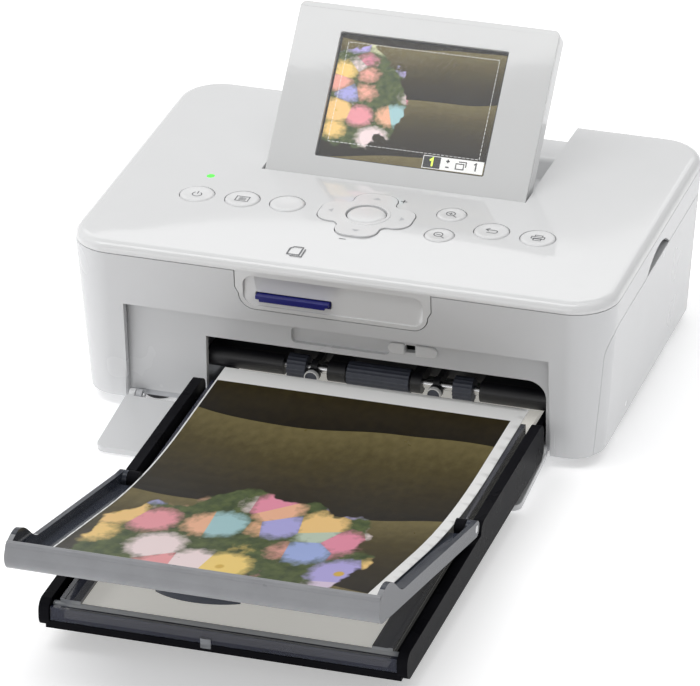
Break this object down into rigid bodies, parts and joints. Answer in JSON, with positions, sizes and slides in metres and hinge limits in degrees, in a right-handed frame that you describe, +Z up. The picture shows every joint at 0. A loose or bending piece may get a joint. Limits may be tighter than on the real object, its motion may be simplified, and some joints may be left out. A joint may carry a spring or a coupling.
{
  "type": "compact photo printer",
  "caption": "Compact photo printer with a tilting screen, buttons, hinged covers and a postcard cassette with a fold-out output tray.",
  "frame": {"origin": "centre of the whole part's footprint on the table", "axes": "+Z up, +X to the printer's right as its user sees it, +Y towards its rear"},
  "size_m": [0.178, 0.303, 0.102],
  "materials": {
    "dark_base": "fine grain",
    "rubber": "matte",
    "shell_white": "satin",
    "gloss_white": "gloss",
    "zinc_steel": "satin",
    "black_plastic": "satin",
    "steel": "polished",
    "screen_face": "gloss",
    "lcd_glass": "lit picture",
    "clear_window": "clear",
    "circuit_board": "solder mask",
    "green_light": "lit lens",
    "grey_rubber": "matte",
    "key_white": "gloss",
    "card_blue": "satin",
    "dye_film": "film",
    "spool_grey": "satin",
    "head_ceramic": "anodised",
    "gear_ivory": "satin",
    "brass": "machined",
    "roller_rubber": "ribbed",
    "cassette_black": "satin gloss",
    "smoky_navy": "smoky clear",
    "paper": "coated card",
    "clear_clip": "clear",
    "smoky_grey": "smoky clear",
    "print": "gloss photo print"
  },
  "bodies": {
    "printer": {"base_pan": "dark_base", "rubber_feet": "rubber", "main_shell": "shell_white", "top_cover": "gloss_white", "front_panel": "shell_white", "chassis": "zinc_steel", "exit_guide": "black_plastic", "screen_hinge_pins": "steel", "button_board": "circuit_board", "main_board": "circuit_board", "status_light": "green_light", "card_socket": "steel", "front_door_pins": "steel", "ink_door_pins": "steel", "ink_cassette": "black_plastic", "ink_ribbon": "dye_film", "drive_motor": "steel", "dc_inlet": "black_plastic", "usb_socket": "steel"},
    "screen": {"screen_back": "gloss_white", "screen_front": "screen_face", "lcd_panel": "lcd_glass", "screen_window": "clear_window"},
    "pad_ring": {"pad_pivot": "grey_rubber"},
    "pad": {"nav_pad": "key_white"},
    "card": {"memory_card": "card_blue"},
    "front_flap": {"front_door": "shell_white"},
    "ink_hatch": {"ink_door": "shell_white"},
    "supply": {"supply_spool": "dye_film"},
    "take_up": {"take_up_spool": "spool_grey"},
    "head": {"print_head": "head_ceramic"},
    "platen": {"platen_roller": "grey_rubber", "platen_gear": "gear_ivory"},
    "transfer": {"transfer_gear": "gear_ivory"},
    "idler": {"idler_gear": "gear_ivory"},
    "pinion": {"motor_pinion": "brass"},
    "feed": {"feed_shaft": "steel", "feed_rollers": "roller_rubber", "feed_gear": "gear_ivory"},
    "cassette": {"cassette_base": "cassette_black", "cassette_cover": "smoky_navy", "lift_plate": "black_plastic", "paper_stack": "paper", "stack_clip": "clear_clip", "tray_pins": "steel", "print_sheet": "print"},
    "tray": {"output_tray": "smoky_grey"},
    "power_key": {"power_button": "key_white"},
    "menu_key": {"menu_button": "key_white"},
    "edit_key": {"edit_button": "key_white"},
    "zoom_in_key": {"zoom_in_button": "key_white"},
    "zoom_out_key": {"zoom_out_button": "key_white"},
    "back_key": {"back_button": "key_white"},
    "print_key": {"print_button": "key_white"},
    "ok_key": {"ok_button": "key_white"}
  },
  "joints": [
    {"name": "screen_tilt", "type": "hinge", "parent": "printer", "child": "screen", "pos_m": [0.0004, 0.0915, 0.0571], "axis": [1, 0, 0], "range_deg": [-46.6, 0]},
    {"name": "front_door_swing", "type": "hinge", "parent": "printer", "child": "front_flap", "pos_m": [0, 0.0277, 0.005], "axis": [-1, 0, 0], "range_deg": [0, 6]},
    {"name": "ink_door_swing", "type": "hinge", "parent": "printer", "child": "ink_hatch", "pos_m": [0.08053, 0.088, 0.007], "axis": [0, 1, 0], "range_deg": [0, 88]},
    {"name": "card_pull", "type": "slide", "parent": "printer", "child": "card", "axis": [0, -1, 0], "range_m": [0, 0.024]},
    {"name": "cassette_pull", "type": "slide", "parent": "printer", "child": "cassette", "axis": [0, -1, 0], "range_m": [0, 0.07]},
    {"name": "tray_fold", "type": "hinge", "parent": "cassette", "child": "tray", "pos_m": [0, -0.053, 0.0205], "axis": [-1, 0, 0], "range_deg": [0, 120], "deforming": ["print_sheet"]},
    {"name": "power_press", "type": "slide", "parent": "printer", "child": "power_key", "axis": [0, 0, -1], "range_m": [0, 0.0008], "stiffness_N_per_m": 400, "springref_m": -0.0005},
    {"name": "menu_press", "type": "slide", "parent": "printer", "child": "menu_key", "axis": [0, 0, -1], "range_m": [0, 0.0008], "stiffness_N_per_m": 400, "springref_m": -0.0005},
    {"name": "edit_press", "type": "slide", "parent": "printer", "child": "edit_key", "axis": [0, 0, -1], "range_m": [0, 0.0008], "stiffness_N_per_m": 400, "springref_m": -0.0005},
    {"name": "zoom_in_press", "type": "slide", "parent": "printer", "child": "zoom_in_key", "axis": [0, 0, -1], "range_m": [0, 0.0008], "stiffness_N_per_m": 400, "springref_m": -0.0005},
    {"name": "zoom_out_press", "type": "slide", "parent": "printer", "child": "zoom_out_key", "axis": [0, 0, -1], "range_m": [0, 0.0008], "stiffness_N_per_m": 400, "springref_m": -0.0005},
    {"name": "back_press", "type": "slide", "parent": "printer", "child": "back_key", "axis": [0, 0, -1], "range_m": [0, 0.0008], "stiffness_N_per_m": 400, "springref_m": -0.0005},
    {"name": "print_press", "type": "slide", "parent": "printer", "child": "print_key", "axis": [0, 0, -1], "range_m": [0, 0.0008], "stiffness_N_per_m": 400, "springref_m": -0.0005},
    {"name": "ok_press", "type": "slide", "parent": "printer", "child": "ok_key", "axis": [0, 0, -1], "range_m": [0, 0.0008], "stiffness_N_per_m": 400, "springref_m": -0.0005},
    {"name": "pad_front_back", "type": "hinge", "parent": "printer", "child": "pad_ring", "pos_m": [-0.0012, 0.0646, 0.0554], "axis": [1, 0, 0], "range_deg": [-2, 2], "stiffness_Nm_per_rad": 0.3},
    {"name": "pad_left_right", "type": "hinge", "parent": "pad_ring", "child": "pad", "pos_m": [-0.0012, 0.0646, 0.0554], "axis": [0, 1, 0], "range_deg": [-2, 2], "stiffness_Nm_per_rad": 0.3},
    {"name": "head_lift", "type": "hinge", "parent": "printer", "child": "head", "pos_m": [0, 0.132, 0.0402], "axis": [-1, 0, 0], "range_deg": [0, 2], "stiffness_Nm_per_rad": 0.6, "springref_deg": -2.86},
    {"name": "platen_spin", "type": "hinge", "parent": "printer", "child": "platen", "pos_m": [0, 0.097, 0.015], "axis": [1, 0, 0], "continuous": true},
    {"name": "transfer_spin", "type": "hinge", "parent": "printer", "child": "transfer", "pos_m": [0, 0.07645, 0.01914], "axis": [1, 0, 0], "continuous": true},
    {"name": "idler_spin", "type": "hinge", "parent": "printer", "child": "idler", "pos_m": [0, 0.05302, 0.02387], "axis": [1, 0, 0], "continuous": true},
    {"name": "pinion_spin", "type": "hinge", "parent": "printer", "child": "pinion", "pos_m": [0, 0.06034, 0.03764], "axis": [1, 0, 0], "continuous": true},
    {"name": "feed_spin", "type": "hinge", "parent": "printer", "child": "feed", "pos_m": [0, 0.038, 0.0178], "axis": [1, 0, 0], "continuous": true},
    {"name": "supply_spin", "type": "hinge", "parent": "printer", "child": "supply", "pos_m": [0, 0.1185, 0.0314], "axis": [1, 0, 0], "continuous": true},
    {"name": "take_up_spin", "type": "hinge", "parent": "printer", "child": "take_up", "pos_m": [0, 0.0755, 0.0314], "axis": [1, 0, 0], "continuous": true}
  ],
  "couplings": [
    {"joint": "transfer_spin", "follows": "platen_spin", "ratio": -0.78947},
    {"joint": "idler_spin", "follows": "platen_spin", "ratio": 0.75},
    {"joint": "feed_spin", "follows": "platen_spin", "ratio": -2.1429},
    {"joint": "pinion_spin", "follows": "platen_spin", "ratio": -2.5}
  ]
}
